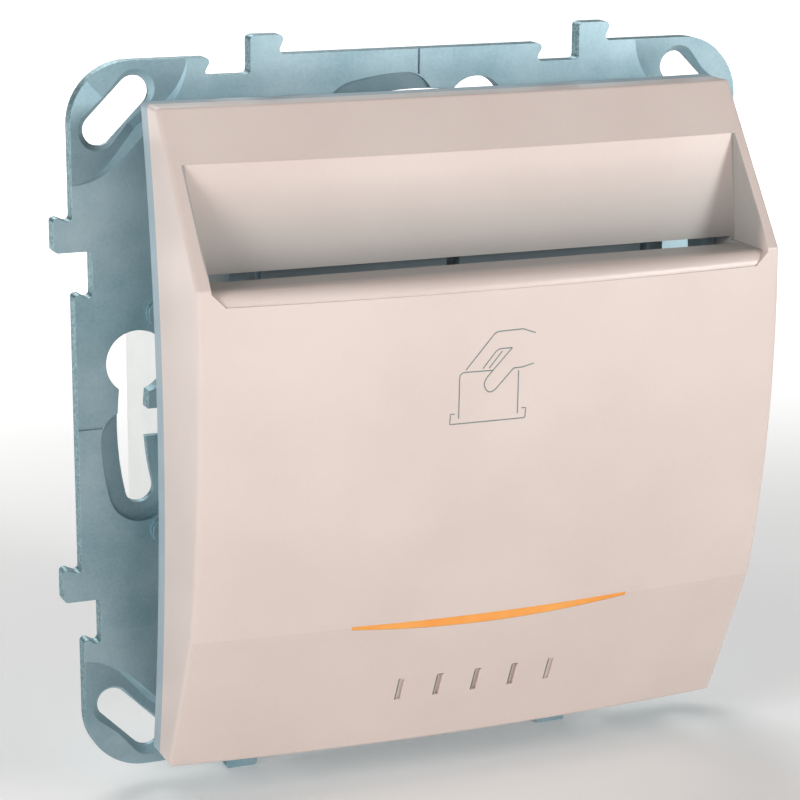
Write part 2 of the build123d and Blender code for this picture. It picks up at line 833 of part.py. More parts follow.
floor_bottom = pocket_floor_height - pocket_wall
panel_rear = panel_bottom_forward - pocket_wall
rib_bottom = stop_height + rib_end_gap
far_forward = brow_forward + brow_bow + overrun
brow_slope = (brow_forward - top_edge_forward) / (cover_half_height - brow_height)
pocket_top_forward = top_edge_forward + brow_slope * (cover_half_height - pocket_top_height)

with BuildPart() as pocket_walls:
    for place, bow_share in ((-cover_half_width, 0), (0, 1), (cover_half_width, 0)):
        with BuildSketch(side_plane(place)):
            panel_top = pocket_top_forward + bow_share * pocket_top_bow
            Polygon(
                (panel_rear, panel_bottom_height),
                (panel_bottom_forward, panel_bottom_height),
                (panel_top, pocket_top_height),
                (panel_top - pocket_wall, pocket_top_height),
            )
    loft()
    with BuildSketch(side_plane(0)):
        with Locations(((channel_front + far_forward) / 2, (floor_bottom + pocket_floor_height) / 2)):
            Rectangle(far_forward - channel_front, pocket_floor_height - floor_bottom)
    extrude(amount=cover_half_width, both=True)
    add(outer_form.part, mode=Mode.INTERSECT)

with BuildPart() as pocket_space:
    for place, bow_share in ((-pocket_half_width, 0), (0, 1), (pocket_half_width, 0)):
        with BuildSketch(side_plane(place)):
            panel_top = pocket_top_forward + bow_share * pocket_top_bow
            Polygon(
                (panel_bottom_forward, pocket_floor_height),
                (far_forward, pocket_floor_height),
                (far_forward, pocket_top_height),
                (panel_top, pocket_top_height),
                (panel_bottom_forward, panel_bottom_height),
            )
    loft()

with BuildPart() as lip_space:
    for place, bow_share in ((-pocket_half_width, 0), (0, 1), (pocket_half_width, 0)):
        with BuildSketch(side_plane(place)):
            lip_forward = brow_forward + bow_share * brow_bow
            with BuildLine():
                JernArc((lip_forward - lip_radius, pocket_floor_height), (1, 0), lip_radius, -quarter_turn)
                Polyline(
                    (lip_forward, pocket_floor_height - lip_radius),
                    (far_forward, pocket_floor_height - lip_radius),
                    (far_forward, pocket_floor_height + overrun),
                    (lip_forward - lip_radius, pocket_floor_height + overrun),
                    (lip_forward - lip_radius, pocket_floor_height),
                )
            make_face()
    loft()
    with BuildSketch(front_plane(0)):
        Polygon(
            (-pocket_half_width, pocket_floor_height + overrun),
            (-pocket_half_width, pocket_floor_height),
            (-pocket_half_width + lip_radius, pocket_floor_height - lip_radius),
            (pocket_half_width - lip_radius, pocket_floor_height - lip_radius),
            (pocket_half_width, pocket_floor_height),
            (pocket_half_width, pocket_floor_height + overrun),
        )
    extrude(amount=far_forward + overrun, mode=Mode.INTERSECT)

lower_face_plane = Plane(
    origin=(0, -crease_forward - crease_bow, crease_height),
    x_dir=(1, 0, 0),
    z_dir=(0, -(crease_height + cover_half_height), -(crease_forward - bottom_edge_forward)),
)


def lens_outline(gap):
    """Edges of the lens in the lower face, straight along the crease and bulging below."""
    left = lens_offset - lens_length / 2 - gap
    right = lens_offset + lens_length / 2 + gap
    top = -lens_drop + gap
    with BuildLine() as outline:
        Line((left, top), (right, top))
        Line((right, top), (right, -lens_drop - lens_end_width - gap))
        ThreePointArc(
            (right, -lens_drop - lens_end_width - gap),
            (lens_offset, -lens_drop - lens_width - gap),
            (left, -lens_drop - lens_end_width - gap),
        )
        Line((left, -lens_drop - lens_end_width - gap), (left, top))
    return outline.edges()


# Ribs inside the front that steer the card
with BuildPart() as card_ribs:
    with BuildSketch(side_plane(0)):
        with Locations(((channel_front + far_forward) / 2, (floor_bottom + rib_bottom) / 2)):
            Rectangle(far_forward - channel_front, floor_bottom - rib_bottom)
    extrude(amount=rib_places[-1] + rib_thickness / 2, both=True)
    with BuildSketch(front_plane(channel_front)):
        for side in (-1, 1):
            for place in rib_places:
                with Locations((side * place, (floor_bottom + rib_bottom) / 2)):
                    Rectangle(rib_thickness, floor_bottom - rib_bottom)
    extrude(amount=far_forward, mode=Mode.INTERSECT)
    add(outer_form.part, mode=Mode.INTERSECT)

with BuildPart() as cover:
    add(outer_form.part)
    add(inner_form.part, mode=Mode.SUBTRACT)
    add(pocket_walls.part)
    add(pocket_space.part, mode=Mode.SUBTRACT)
    add(lip_space.part, mode=Mode.SUBTRACT)
    add(card_ribs.part)
    with BuildSketch(lower_face_plane):
        make_face(lens_outline(lens_gap))
    extrude(amount=lens_depth, both=True, mode=Mode.SUBTRACT)
    with BuildSketch(lower_face_plane):
        with Locations((mark_offset, -mark_drop - mark_length / 2)):
            with GridLocations(mark_spacing, 0, mark_count, 1):
                Rectangle(mark_width, mark_length)
    extrude(amount=mark_depth, both=True, mode=Mode.SUBTRACT)
    add(behind_rim(rim_width), mode=Mode.SUBTRACT)
finish(cover, "cover")


# Carrier: grey rim behind the cover, a tongue that plugs into it, and a plate on four legs

tongue_half_width = cover_inner_half_width - moulding_gap
tongue_half_height = cover_inner_half_height - moulding_gap
rim_inner_half_width = tongue_half_width - tongue_wall
rim_inner_half_height = tongue_half_height - tongue_wall
guide_leg_grid = GridLocations(2 * guide_leg_x, 2 * guide_leg_z, 2, 2)
lever_sweep_bottom = pivot_height - math.hypot(nose_reach, nose_drop) - guide_window_gap
plate_window_top = pivot_height + hub_radius + guide_window_gap
guide_window_top = knee_height + guide_window_gap

with BuildPart() as rim_tongue:
    with BuildSketch(front_plane(0)):
        Rectangle(2 * tongue_half_width, 2 * tongue_half_height)
    extrude(amount=far_forward)
    add(behind_rim(rim_width + tongue_length), mode=Mode.INTERSECT)
    add(inner_form.part, mode=Mode.INTERSECT)

with BuildPart() as cover_carrier:
    add(outer_form.part)
    add(behind_rim(rim_width), mode=Mode.INTERSECT)
    add(rim_tongue.part)
    add(behind_rim(0), mode=Mode.SUBTRACT)
    with BuildSketch(front_plane(0)):
        Rectangle(2 * rim_inner_half_width, 2 * rim_inner_half_height)
    extrude(amount=far_forward, mode=Mode.SUBTRACT)
    with BuildSketch(front_plane(plate_forward)):
        Rectangle(2 * plate_half_width, 2 * rim_inner_half_height + tongue_wall)
    extrude(amount=plate_thickness)
    with BuildSketch(front_plane(lid_front)):
        with leg_grid:
            Rectangle(leg_width, leg_width)
    extrude(amount=plate_forward - lid_front)
    with BuildSketch(front_plane(lid_front)):
        with leg_grid:
            Circle(leg_pin_radius)
    extrude(amount=-leg_pin_length)
    with BuildSketch(front_plane(plate_forward)):
        with Locations((0, (lever_sweep_bottom + plate_window_top) / 2)):
            Rectangle(2 * ear_inner, plate_window_top - lever_sweep_bottom)
        with Locations((0, (sight_slot_bottom + sight_slot_top) / 2)):
            Rectangle(sight_slit_width, sight_slot_top - sight_slot_bottom)
        slot_middle = (side_slot_inner + side_slot_outer) / 2
        with GridLocations(2 * slot_middle, 0, 2, 1):
            with Locations((0, (sight_slot_bottom + sight_slot_top) / 2)):
                Rectangle(side_slot_outer - side_slot_inner, sight_slot_top - sight_slot_bottom)
        with guide_leg_grid:
            Circle(leg_pin_radius + snap_clearance)
        with Locations(*pin_places):
            Circle(pin_radius + pin_hole_gap)
    extrude(amount=plate_thickness, mode=Mode.SUBTRACT)
finish(cover_carrier, "cover_carrier")


# Card guide: rear wall of the card channel, with a window for the lever's nose and a stop

stop_bottom = stop_height - stop_thickness
stop_front = channel_front - stop_end_gap

with BuildPart() as card_guide:
    with BuildSketch(front_plane(guide_rear)):
        with Locations((0, (guide_top + stop_bottom) / 2)):
            Rectangle(2 * guide_half_width, guide_top - stop_bottom)
        with Locations((0, (lever_sweep_bottom + guide_window_top) / 2)):
            Rectangle(2 * ear_inner, guide_window_top - lever_sweep_bottom, mode=Mode.SUBTRACT)
    extrude(amount=guide_wall)
    with BuildSketch(front_plane(channel_rear)):
        with Locations((0, (stop_height + stop_bottom) / 2)):
            Rectangle(2 * stop_half_width, stop_thickness)
    extrude(amount=stop_front - channel_rear)
    with BuildSketch(front_plane(plate_front)):
        with guide_leg_grid:
            Circle(guide_leg_radius)
    extrude(amount=guide_rear - plate_front)
    with BuildSketch(front_plane(plate_front)):
        with guide_leg_grid:
            Circle(leg_pin_radius)
    extrude(amount=-plate_thickness)
finish(card_guide, "card_guide")


# Indicator: board with its lamp, resistor and pins, and the light strip in the cover

resistor_forward = board_front + resistor_radius
light_rear = board_front + led_depth + guide_gap
crease_middle = crease_forward + crease_bow
lens_half = lens_length / 2

with BuildPart() as circuit_board:
    with BuildSketch(front_plane(board_rear)):
        with Locations((0, board_middle)):
            Rectangle(board_width, board_height)
        with Locations(*pin_places):
            Circle(pin_radius, mode=Mode.SUBTRACT)
    extrude(amount=board_thickness)
finish(circuit_board, "circuit_board")

with BuildPart() as board_pins:
    with BuildSketch(front_plane(strip_drop_forward)):
        with Locations(*pin_places):
            Circle(pin_radius)
    extrude(amount=board_front + pin_front - strip_drop_forward)
finish(board_pins, "board_pins")

with BuildPart() as indicator_led:
    with BuildSketch(front_plane(board_front)):
        with Locations((0, led_place)):
            Rectangle(led_width, led_height)
    extrude(amount=led_depth / 2)
    with BuildSketch(front_plane(board_front)):
        with Locations((0, led_place)):
            SlotOverall(led_width, led_height)
    extrude(amount=led_depth)
finish(indicator_led, "indicator_led")

with BuildPart() as series_resistor:
    with BuildSketch(side_plane(resistor_place)):
        with Locations((resistor_forward, board_middle)):
            Circle(resistor_radius)
    extrude(amount=resistor_length / 2, both=True)
    with BuildLine():
        lead = FilletPolyline(
            (resistor_place - lead_span / 2, -board_front, board_middle),
            (resistor_place - lead_span / 2, -resistor_forward, board_middle),
            (resistor_place + lead_span / 2, -resistor_forward, board_middle),
            (resistor_place + lead_span / 2, -board_front, board_middle),
            radius=2 * lead_radius,
        )
    with BuildSketch(Plane(origin=lead @ 0, z_dir=lead % 0)):
        Circle(lead_radius)
    sweep()
finish(series_resistor, "series_resistor")

with BuildPart() as light_body:
    with BuildSketch(side_plane(lens_offset)):
        Polygon(
            (light_rear, led_place - guide_depth_height / 2),
            (crease_middle, crease_height - lens_width),
            (crease_middle, crease_height + cover_wall / 2),
            (stop_front, stop_bottom - guide_gap),
            (light_rear, led_place + guide_depth_height / 2),
        )
    extrude(amount=lens_half, both=True)
    with BuildSketch(Plane.XY.offset(led_place - guide_depth_height / 2)):
        Polygon(
            (-guide_rear_half_width, -light_rear),
            (guide_rear_half_width, -light_rear),
            (lens_offset + lens_half, -stop_front),
            (lens_offset + lens_half, -far_forward),
            (lens_offset - lens_half, -far_forward),
            (lens_offset - lens_half, -stop_front),
        )
    extrude(amount=stop_height - led_place + guide_depth_height, mode=Mode.INTERSECT)
    add(inner_form.part, mode=Mode.INTERSECT)

with BuildPart() as light_strip:
    with BuildSketch(lower_face_plane):
        make_face(lens_outline(0))
    extrude(amount=lens_depth, both=True)
    add(outer_form.part, mode=Mode.INTERSECT)
    add(light_body.part)
finish(light_strip, "light_strip")
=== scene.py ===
# %% [markdown]
# A hotel key card switch, dressed for the camera.
# The CAD model already has every solid in its place and at its real size, so this scene
# adds what CAD leaves out: the finish of each material, a spring wound as a mesh, the
# printed sign on the cover, and the light of a studio. Everything is in metres, in the
# same frame as the CAD: X to the right, Y into the wall, Z up.

# %% Load the CAD model as the frame
import json
import math
import bmesh
import bpy
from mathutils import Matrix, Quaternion, Vector
from mathutils.bvhtree import BVHTree


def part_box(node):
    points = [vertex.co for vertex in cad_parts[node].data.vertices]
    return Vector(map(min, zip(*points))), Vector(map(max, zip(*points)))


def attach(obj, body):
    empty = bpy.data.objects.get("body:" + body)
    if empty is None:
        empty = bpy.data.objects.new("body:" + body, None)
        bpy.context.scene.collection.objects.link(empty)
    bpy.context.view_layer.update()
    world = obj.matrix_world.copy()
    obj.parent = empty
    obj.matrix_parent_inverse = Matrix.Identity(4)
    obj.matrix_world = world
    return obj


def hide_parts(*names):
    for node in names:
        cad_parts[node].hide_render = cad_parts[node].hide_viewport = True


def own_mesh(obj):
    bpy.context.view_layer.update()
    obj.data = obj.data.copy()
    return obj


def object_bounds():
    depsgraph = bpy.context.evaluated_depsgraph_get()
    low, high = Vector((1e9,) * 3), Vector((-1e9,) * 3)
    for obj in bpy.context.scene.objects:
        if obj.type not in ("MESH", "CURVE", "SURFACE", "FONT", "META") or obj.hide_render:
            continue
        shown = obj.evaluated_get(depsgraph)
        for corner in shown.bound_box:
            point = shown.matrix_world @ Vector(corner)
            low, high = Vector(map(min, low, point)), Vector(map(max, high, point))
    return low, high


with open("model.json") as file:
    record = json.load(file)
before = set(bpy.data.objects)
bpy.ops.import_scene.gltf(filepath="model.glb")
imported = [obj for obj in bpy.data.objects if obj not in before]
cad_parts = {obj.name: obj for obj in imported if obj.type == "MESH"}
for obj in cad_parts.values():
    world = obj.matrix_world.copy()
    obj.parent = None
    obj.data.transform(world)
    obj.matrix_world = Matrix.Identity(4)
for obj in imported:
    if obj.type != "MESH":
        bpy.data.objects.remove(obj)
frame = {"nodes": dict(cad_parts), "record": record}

mm = 0.001
cad_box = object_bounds()
low, high = cad_box
print("nodes:", len(frame["nodes"]), "size in mm:", [round(side / mm, 2) for side in high - low])

# %% [markdown]
# The camera stands where the photograph was taken from. Its direction, distance and focal
# length came from matching straight edges of known length, such as the frame's sides,
# with their lines in the picture. A long lens keeps parallel edges nearly parallel. The
# picture was cropped off centre, and the camera's shift does the same here.

# %% Camera
view_azimuth = math.radians(-22.934)
view_elevation = math.radians(15.472)
view_roll = math.radians(0.492)
camera_place = Vector((-102.35, -247.03, 68.04)) * mm
sensor_width = 36.0
lens_length = 121.12
shift_right = -0.0362
shift_up = 0.0628
nearest_seen = 10 * mm
furthest_seen = 20.0

camera = bpy.data.objects.new("camera", bpy.data.cameras.new("camera"))
bpy.context.scene.collection.objects.link(camera)
bpy.context.scene.camera = camera
forward = Vector((
    -math.sin(view_azimuth) * math.cos(view_elevation),
    math.cos(view_azimuth) * math.cos(view_elevation),
    -math.sin(view_elevation),
))
along_lens = Vector((0, 0, 1))
camera.location = camera_place
camera.rotation_mode = "QUATERNION"
camera.rotation_quaternion = forward.to_track_quat("-Z", "Y") @ Quaternion(along_lens, view_roll)
camera.data.sensor_width = sensor_width
camera.data.lens = lens_length
camera.data.shift_x = shift_right
camera.data.shift_y = shift_up
camera.data.clip_start = nearest_seen
camera.data.clip_end = furthest_seen
print("camera looks along", [round(part, 3) for part in forward])

# %% [markdown]
# A material in Blender is a small network of nodes. Four helpers keep the cells short.
# One turns a colour picked on a screen into the linear light that Blender works with, and
# one adds a node, sets it and links it. A third starts a material with the values that
# are the same all over its surface, and a fourth gives noise its scale from a real size.

# %% Helpers for materials
def linear(hex_colour):
    """Linear colour and alpha of an sRGB hex value such as #FFAA00."""
    colour = []
    for start in (1, 3, 5):
        value = int(hex_colour[start:start + 2], 16) / 255
        colour.append(value / 12.92 if value <= 0.04045 else ((value + 0.055) / 1.055) ** 2.4)
    return colour + [1.0]


def add_node(material, kind, inputs=None, **settings):
    """Add a node to a material; an input is a value or the socket that feeds it."""
    node = material.node_tree.nodes.new(kind)
    for name, value in settings.items():
        setattr(node, name, value)
    for name, value in (inputs or {}).items():
        if isinstance(value, bpy.types.NodeSocket):
            material.node_tree.links.new(value, node.inputs[name])
        else:
            node.inputs[name].default_value = value
    return node


def start_material(name, **finish):
    """Material with its Principled shader set; returns it, the shader and its place socket."""
    material = bpy.data.materials.new(name)
    material.use_nodes = True
    shader = material.node_tree.nodes["Principled BSDF"]
    for socket, value in finish.items():
        shader.inputs[socket.replace("_", " ")].default_value = value
    place = add_node(material, "ShaderNodeTexCoord").outputs["Object"]
    return material, shader, place


def per_size(size):
    """Noise scale whose blotches are about that size, in metres."""
    return 1 / size


# Sockets that share a name with others on their node go by their place on it
first, second, third = 0, 1, 2
mix_share, value_a, value_b, colour_a, colour_b, colour_out = 0, 2, 3, 6, 7, 2
materials = {}
print("ready to make materials")

# %% [markdown]
# Two colours mixed by a cloud of noise give a surface the slight unevenness that every
# real one has, and a second, finer noise in a Bump node gives it its grain. Moulded and
# cast pieces all need this pair, so one function makes it from real sizes: how large the
# blotches are, how large the grain is, and how deep. No moulded edge is quite sharp, and
# the thin line of light along it says so. A Bevel node bends the light there by the
# edge's real radius, which is far too small to be worth any geometry. An edge radius of
# zero leaves that node out: along wide, shallow creases it would draw dark lines.

# %% Uneven colour and grain
cloud_detail = {"Detail": 3.0, "Roughness": 0.55}
grain_detail = {"Detail": 4.0, "Roughness": 0.6}
colour_spread = {"From Min": 0.36, "From Max": 0.64}
edge_samples = 6


def uneven(
    material, shader, place, colours, blotch_size, grain_size, grain_depth, grain_share=0.0,
    edge_radius=0.1 * mm,
):
    """Mix two colours by soft blotches and some grain, raise the grain, round the edges."""
    blotches = add_node(material, "ShaderNodeTexNoise", {
        "Vector": place, "Scale": per_size(blotch_size), **cloud_detail,
    })
    grain = add_node(material, "ShaderNodeTexNoise", {
        "Vector": place, "Scale": per_size(grain_size), **grain_detail,
    })
    blend = add_node(material, "ShaderNodeMix", {
        mix_share: grain_share, value_a: blotches.outputs["Fac"], value_b: grain.outputs["Fac"],
    })
    spread = add_node(material, "ShaderNodeMapRange", {
        "Value": blend.outputs["Result"], **colour_spread,
    })
    mix = add_node(material, "ShaderNodeMix", {
        mix_share: spread.outputs["Result"], colour_a: linear(colours[0]),
        colour_b: linear(colours[1]),
    }, data_type="RGBA")
    bump = add_node(material, "ShaderNodeBump", {
        "Height": grain.outputs["Fac"], "Strength": 1.0, "Distance": grain_depth,
    })
    links = material.node_tree.links
    if edge_radius:
        edge = add_node(material, "ShaderNodeBevel", {"Radius": edge_radius}, samples=edge_samples)
        links.new(edge.outputs["Normal"], bump.inputs["Normal"])
    links.new(mix.outputs[colour_out], shader.inputs["Base Color"])
    links.new(bump.outputs["Normal"], shader.inputs["Normal"])
    return mix.outputs[colour_out]


print("uneven colour and grain ready")

# %% [markdown]
# The support frame is a zinc die casting. Molten zinc alloy was pressed into a steel die,
# the flash was trimmed, and the casting was tumbled and passivated, which leaves a
# blue-grey skin with cloudy tone and a fine grain. The film dulls the metal, so it is
# only partly metallic here. The trimmed edges keep a coarse, sparkling texture, because
# there the skin is broken. A mask from the surface's own direction finds those edges:
# they face sideways, while the skin faces the user.

# %% Skin of the zinc die casting
material, shader, place = start_material("zinc_die_casting", Metallic=0.65, Roughness=0.5)
skin_colour = uneven(
    material, shader, place, ("#90B0BA", "#B4CCD4"), blotch_size=9 * mm, grain_size=0.3 * mm,
    grain_depth=0.008 * mm, grain_share=0.25,
)
materials["frame_metal"] = material
print("frame_metal:", material.name)

# %% Trimmed edges of the zinc die casting
edge_mask = {"From Min": 0.4, "From Max": 0.2}
sparkle_size = 0.3 * mm
sparkle_detail = {"Detail": 5.0, "Roughness": 0.75}
sparkle_spread = {"From Min": 0.4, "From Max": 0.64}
facing = add_node(material, "ShaderNodeSeparateXYZ", {
    "Vector": add_node(material, "ShaderNodeTexCoord").outputs["Normal"],
})
turned = add_node(material, "ShaderNodeMath", {first: facing.outputs["Y"]}, operation="ABSOLUTE")
edge = add_node(material, "ShaderNodeMapRange", {"Value": turned.outputs[first], **edge_mask})
sparkle = add_node(material, "ShaderNodeTexNoise", {
    "Vector": place, "Scale": per_size(sparkle_size), **sparkle_detail,
})
speck = add_node(material, "ShaderNodeMapRange", {
    "Value": sparkle.outputs["Fac"], **sparkle_spread,
})
edge_colour = add_node(material, "ShaderNodeMix", {
    mix_share: speck.outputs["Result"], colour_a: linear("#4F767F"), colour_b: linear("#A3C0C8"),
}, data_type="RGBA")
whole = add_node(material, "ShaderNodeMix", {
    mix_share: edge.outputs["Result"], colour_a: skin_colour,
    colour_b: edge_colour.outputs[colour_out],
}, data_type="RGBA")
material.node_tree.links.new(whole.outputs[colour_out], shader.inputs["Base Color"])
print("its edges sparkle at", sparkle_size / mm, "mm")

# %% [markdown]
# The cover is moulded in ABS, a tough plastic that takes a smooth satin surface from a
# polished die. Its IOR is 1.53. Its beige is even, with blotches so faint that they only
# keep large faces from looking drawn, and a grain of 0.2 mm that softens the highlight.
# Its wide creases and rounds are in the CAD, so it needs no Bevel node.

# %% Beige ABS
material, shader, place = start_material("beige_abs_moulded", Roughness=0.34, IOR=1.53)
cover_colour = uneven(
    material, shader, place, ("#DAC9C1", "#E0D0C8"), blotch_size=14 * mm, grain_size=0.2 * mm,
    grain_depth=0.001 * mm, grain_share=0.3, edge_radius=0,
)
materials["cover_plastic"] = material
print("cover_plastic:", material.name)

# %% [markdown]
# The card pocket is greyer towards its slot and on its two side walls: that grey is painted
# shade, for the little light that reaches there. A few lamps can't show that by themselves,
# so the colour does: a mask made from the place on the cover, never from the camera, mixes
# in a cool grey. It has a start behind the brow below the slot, an end at the side walls, and a
# height.

# %% Painted shade in the depth of the pocket
pocket_half_width = 28.5 * mm
pocket_top = 26.0 * mm
pocket_bottom = 17.5 * mm
pocket_middle = 21.3 * mm
pocket_reach = 6.2 * mm
brow_forward = 21.8 * mm
brow_blur = 1.8 * mm
wall_blur = 0.3 * mm
painted_shade_most = 0.7
spot = add_node(material, "ShaderNodeSeparateXYZ", {"Vector": place})
sideways = add_node(material, "ShaderNodeMath", {first: spot.outputs["X"]}, operation="ABSOLUTE")
lower_down = add_node(material, "ShaderNodeMapRange", {
    "Value": spot.outputs["Z"], "From Min": pocket_top, "From Max": pocket_bottom,
    "To Max": painted_shade_most,
})
on_wall = add_node(material, "ShaderNodeMapRange", {
    "Value": sideways.outputs[first], "From Min": pocket_half_width - wall_blur,
    "From Max": pocket_half_width, "To Max": painted_shade_most,
})
painted_shade = add_node(material, "ShaderNodeMath", {
    first: lower_down.outputs["Result"], second: on_wall.outputs["Result"],
}, operation="MAXIMUM")
inward = add_node(material, "ShaderNodeMapRange", {
    "Value": spot.outputs["Y"], "From Min": -brow_forward, "From Max": brow_blur - brow_forward,
})
between_walls = add_node(material, "ShaderNodeMath", {
    first: sideways.outputs[first], second: pocket_half_width + wall_blur / 2,
}, operation="LESS_THAN")
at_height = add_node(material, "ShaderNodeMath", {
    first: spot.outputs["Z"], second: pocket_middle, third: pocket_reach,
}, operation="COMPARE")
for limit in (inward, between_walls, at_height):
    painted_shade = add_node(material, "ShaderNodeMath", {
        first: painted_shade.outputs[first], second: limit.outputs[first],
    }, operation="MULTIPLY")
# Painted shade: the mask mixes a cool grey into the beige in the depth of the pocket.
whole = add_node(material, "ShaderNodeMix", {
    mix_share: painted_shade.outputs[first], colour_a: cover_colour, colour_b: linear("#8F9391"),
}, data_type="RGBA")
material.node_tree.links.new(whole.outputs[colour_out], shader.inputs["Base Color"])
print("pocket greyed from", pocket_top / mm, "to", pocket_bottom / mm, "mm")

# %% [markdown]
# The carrier behind the cover is the same plastic, coloured blue-grey to match the metal,
# so the cover seems to float before the wall. It is a little less polished.

# %% Blue-grey ABS
material, shader, place = start_material("blue_grey_abs_moulded", Roughness=0.45, IOR=1.53)
uneven(
    material, shader, place, ("#9AABB4", "#A9B8C0"), blotch_size=10 * mm, grain_size=0.25 * mm,
    grain_depth=0.002 * mm, grain_share=0.3,
)
materials["carrier_plastic"] = material
print("carrier_plastic:", material.name)

# %% [markdown]
# Behind the front, switches use filled PBT, a plastic that stands the heat of sparks.
# Glass fibres near its skin make it matt and slightly mottled. The lever and the slider
# rub on other pieces, so they are acetal, a waxy white plastic that slides well and lets
# a little light in.

# %% Engineering plastics of the mechanism
# Name, two colours, roughness, IOR and share of light let in
plastics = {
    "guide_plastic": ("teal_grey_pbt_moulded", ("#6C9A99", "#7BA8A7"), 0.55, 1.55, 0.0),
    "housing_plastic": ("white_pbt_moulded", ("#E4E6E4", "#EEEFED"), 0.5, 1.55, 0.0),
    "lever_plastic": ("white_acetal_moulded", ("#E6E5DE", "#EFEEE8"), 0.4, 1.48, 0.15),
}
for slot, (name, colours, roughness, ior, let_in) in plastics.items():
    material, shader, place = start_material(
        name, Roughness=roughness, IOR=ior, Subsurface_Weight=let_in, Subsurface_Scale=0.5 * mm,
    )
    uneven(
        material, shader, place, colours, blotch_size=6 * mm, grain_size=0.22 * mm,
        grain_depth=0.005 * mm, grain_share=0.5,
    )
    materials[slot] = material
print("plastics:", ", ".join(plastics))

# %% [markdown]
# The strip under the crease is a light guide of amber acrylic (IOR 1.49). Light of an LED
# enters at its back and leaves through the thin front edge, which seems to glow. A little
# emission stands for that light, and subsurface scattering for the milky body.

# %% Amber acrylic light guide
material, shader, place = start_material(
    "amber_acrylic", Roughness=0.22, IOR=1.49, Subsurface_Weight=0.4, Subsurface_Scale=1.0 * mm,
    Emission_Color=linear("#F09A40"), Emission_Strength=0.18,
)
uneven(
    material, shader, place, ("#EF9A44", "#F3A653"), blotch_size=5 * mm, grain_size=0.3 * mm,
    grain_depth=0.001 * mm,
)
materials["amber_plastic"] = material
print("amber_plastic:", material.name)

# %% [markdown]
# Metals inside: brass strip is rolled, zinc-plated steel is bright and slightly mottled,
# spring wire is drawn and darker, and silver contact alloy is pale and smooth. Rolling
# and drawing leave lines along the metal, so the noise is stretched about eight times one
# way. A metal keeps Blender's default IOR, because its colour says it all.

# %% Metals of the contacts, screws and spring
stretch = (1.0, 0.12, 1.0)
# Name, two colours, roughness and grain size
metals = {
    "brass_strip": ("rolled_brass", ("#C9A24C", "#DDBB6A"), 0.28, 0.25 * mm),
    "tinned_brass": ("tinned_brass", ("#BFC0BC", "#D3D4D0"), 0.3, 0.3 * mm),
    "silver_alloy": ("silver_contact_alloy", ("#D6D5D0", "#E8E7E3"), 0.2, 0.2 * mm),
    "zinc_steel": ("zinc_plated_steel", ("#A9B0B6", "#CBD1D5"), 0.3, 0.35 * mm),
    "spring_steel": ("drawn_spring_steel", ("#86888C", "#A2A5A9"), 0.32, 0.15 * mm),
}
for slot, (name, colours, roughness, grain_size) in metals.items():
    material, shader, place = start_material(name, Metallic=1.0, Roughness=roughness)
    stretched = add_node(material, "ShaderNodeMapping", {"Vector": place, "Scale": stretch})
    uneven(
        material, shader, stretched.outputs["Vector"], colours, blotch_size=3 * mm,
        grain_size=grain_size, grain_depth=0.002 * mm, grain_share=0.5,
    )
    materials[slot] = material
print("metals:", ", ".join(metals))

# %% [markdown]
# The little board is FR4, woven glass in green solder mask. Its weave shows as a faint
# bump of parallel threads, drawn about 1 mm apart, which is coarser than real so that it
# can be seen at all. A Wave node repeats every tau / 20 of its own units, so its scale
# comes from that and the real spacing.

# %% Board
thread_spacing = 0.987 * mm
thread_depth = 0.01 * mm
thread_wobble = 0.5
wave_repeat = math.tau / 20
material, shader, place = start_material("green_solder_mask", Roughness=0.3, IOR=1.55)
uneven(
    material, shader, place, ("#1E5436", "#266342"), blotch_size=4 * mm, grain_size=0.25 * mm,
    grain_depth=0.002 * mm, grain_share=0.2,
)
weave = add_node(material, "ShaderNodeTexWave", {
    "Vector": place, "Scale": wave_repeat / thread_spacing, "Distortion": thread_wobble,
}, bands_direction="X")
weave_bump = add_node(material, "ShaderNodeBump", {
    "Height": weave.outputs["Fac"], "Distance": thread_depth,
})
material.node_tree.links.new(weave_bump.outputs["Normal"], shader.inputs["Normal"])
materials["board_laminate"] = material
print("board_laminate:", material.name)

# %% [markdown]
# A resistor is dipped in tan lacquer, which dries to a gloss. A half-strong coat over the
# colour gives that second, sharper reflection without another layer of mesh.

# %% Resistor lacquer
material, shader, place = start_material("tan_resistor_lacquer", Roughness=0.25, Coat_Weight=0.5)
uneven(
    material, shader, place, ("#C6AE80", "#D6BF93"), blotch_size=2 * mm, grain_size=0.2 * mm,
    grain_depth=0.003 * mm,
)
materials["resistor_lacquer"] = material
print("resistor_lacquer:", material.name)

# %% [markdown]
# The record names a material slot for each CAD node. Giving every node the finish of its
# slot dresses the whole model in one loop, and none can be missed.

# %% Dress the CAD nodes
for part in frame["record"]["subparts"]:
    node = frame["nodes"][part["node"]]
    node.data.materials.clear()
    node.data.materials.append(materials[part["material_slot"]])

# %% [markdown]
# The return spring is a coil of drawn steel wire between the contact slider and the top
# of its track. A CAD solid has one length only, so the scene winds its own spring: rings
# of points are carried up a helix and joined. A curve with a round bevel would look the
# same. A mesh could flatten as the slider rises, but this one is wound at one length.

# %% Size of the return spring
spring_wire = 0.5 * mm
spring_turns = 6
steps_per_turn = 36
wire_sides = 10
spring_low, spring_high = (Vector(corner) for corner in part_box("return_spring"))
spring_length = spring_high.z - spring_low.z
coil_radius = (spring_high.x - spring_low.x - spring_wire) / 2
coil_start = Vector((
    (spring_low.x + spring_high.x) / 2, (spring_low.y + spring_high.y) / 2,
    spring_low.z + spring_wire / 2,
))
print("spring length in mm:", round(spring_length / mm, 2))

